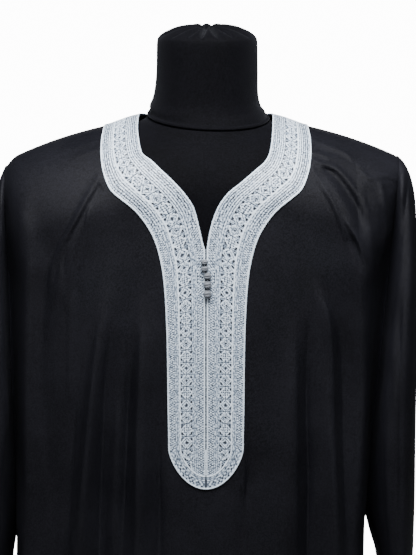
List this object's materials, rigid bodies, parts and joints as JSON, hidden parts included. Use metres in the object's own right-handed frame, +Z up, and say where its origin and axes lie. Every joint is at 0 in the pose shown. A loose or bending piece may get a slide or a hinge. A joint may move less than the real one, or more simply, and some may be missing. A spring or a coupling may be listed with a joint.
{
  "type": "abaya on a dress form",
  "caption": "Long loose black robe with wide sleeves and an embroidered V-neck band and placket, draped on a limbless dress form with a pole and a round base.",
  "frame": {"origin": "centre of the base's underside, on the floor", "axes": "+Z up along the pole, -Y to the front of the robe, +X to the viewer's right"},
  "size_m": [0.5562, 0.3675, 1.6055],
  "materials": {
    "black_crepe": "smooth crepe with a slight satin sheen",
    "silver_embroidery": "dense silver-grey thread embroidery",
    "grey_silk_cord": "knotted silk cord",
    "black_jersey": "matte stretch jersey over a hard form",
    "dark_painted_steel": "semi-gloss dark paint"
  },
  "bodies": {
    "root": {"front": "black_crepe", "back": "black_crepe", "sleeve_left": "black_crepe", "sleeve_right": "black_crepe", "neck_band": "silver_embroidery", "button_1": "grey_silk_cord", "button_2": "grey_silk_cord", "button_3": "grey_silk_cord", "button_4": "grey_silk_cord", "button_5": "grey_silk_cord", "form_torso": "black_jersey", "form_neck_cover": "black_jersey", "form_pole": "dark_painted_steel", "form_base": "dark_painted_steel"}
  },
  "joints": []
}
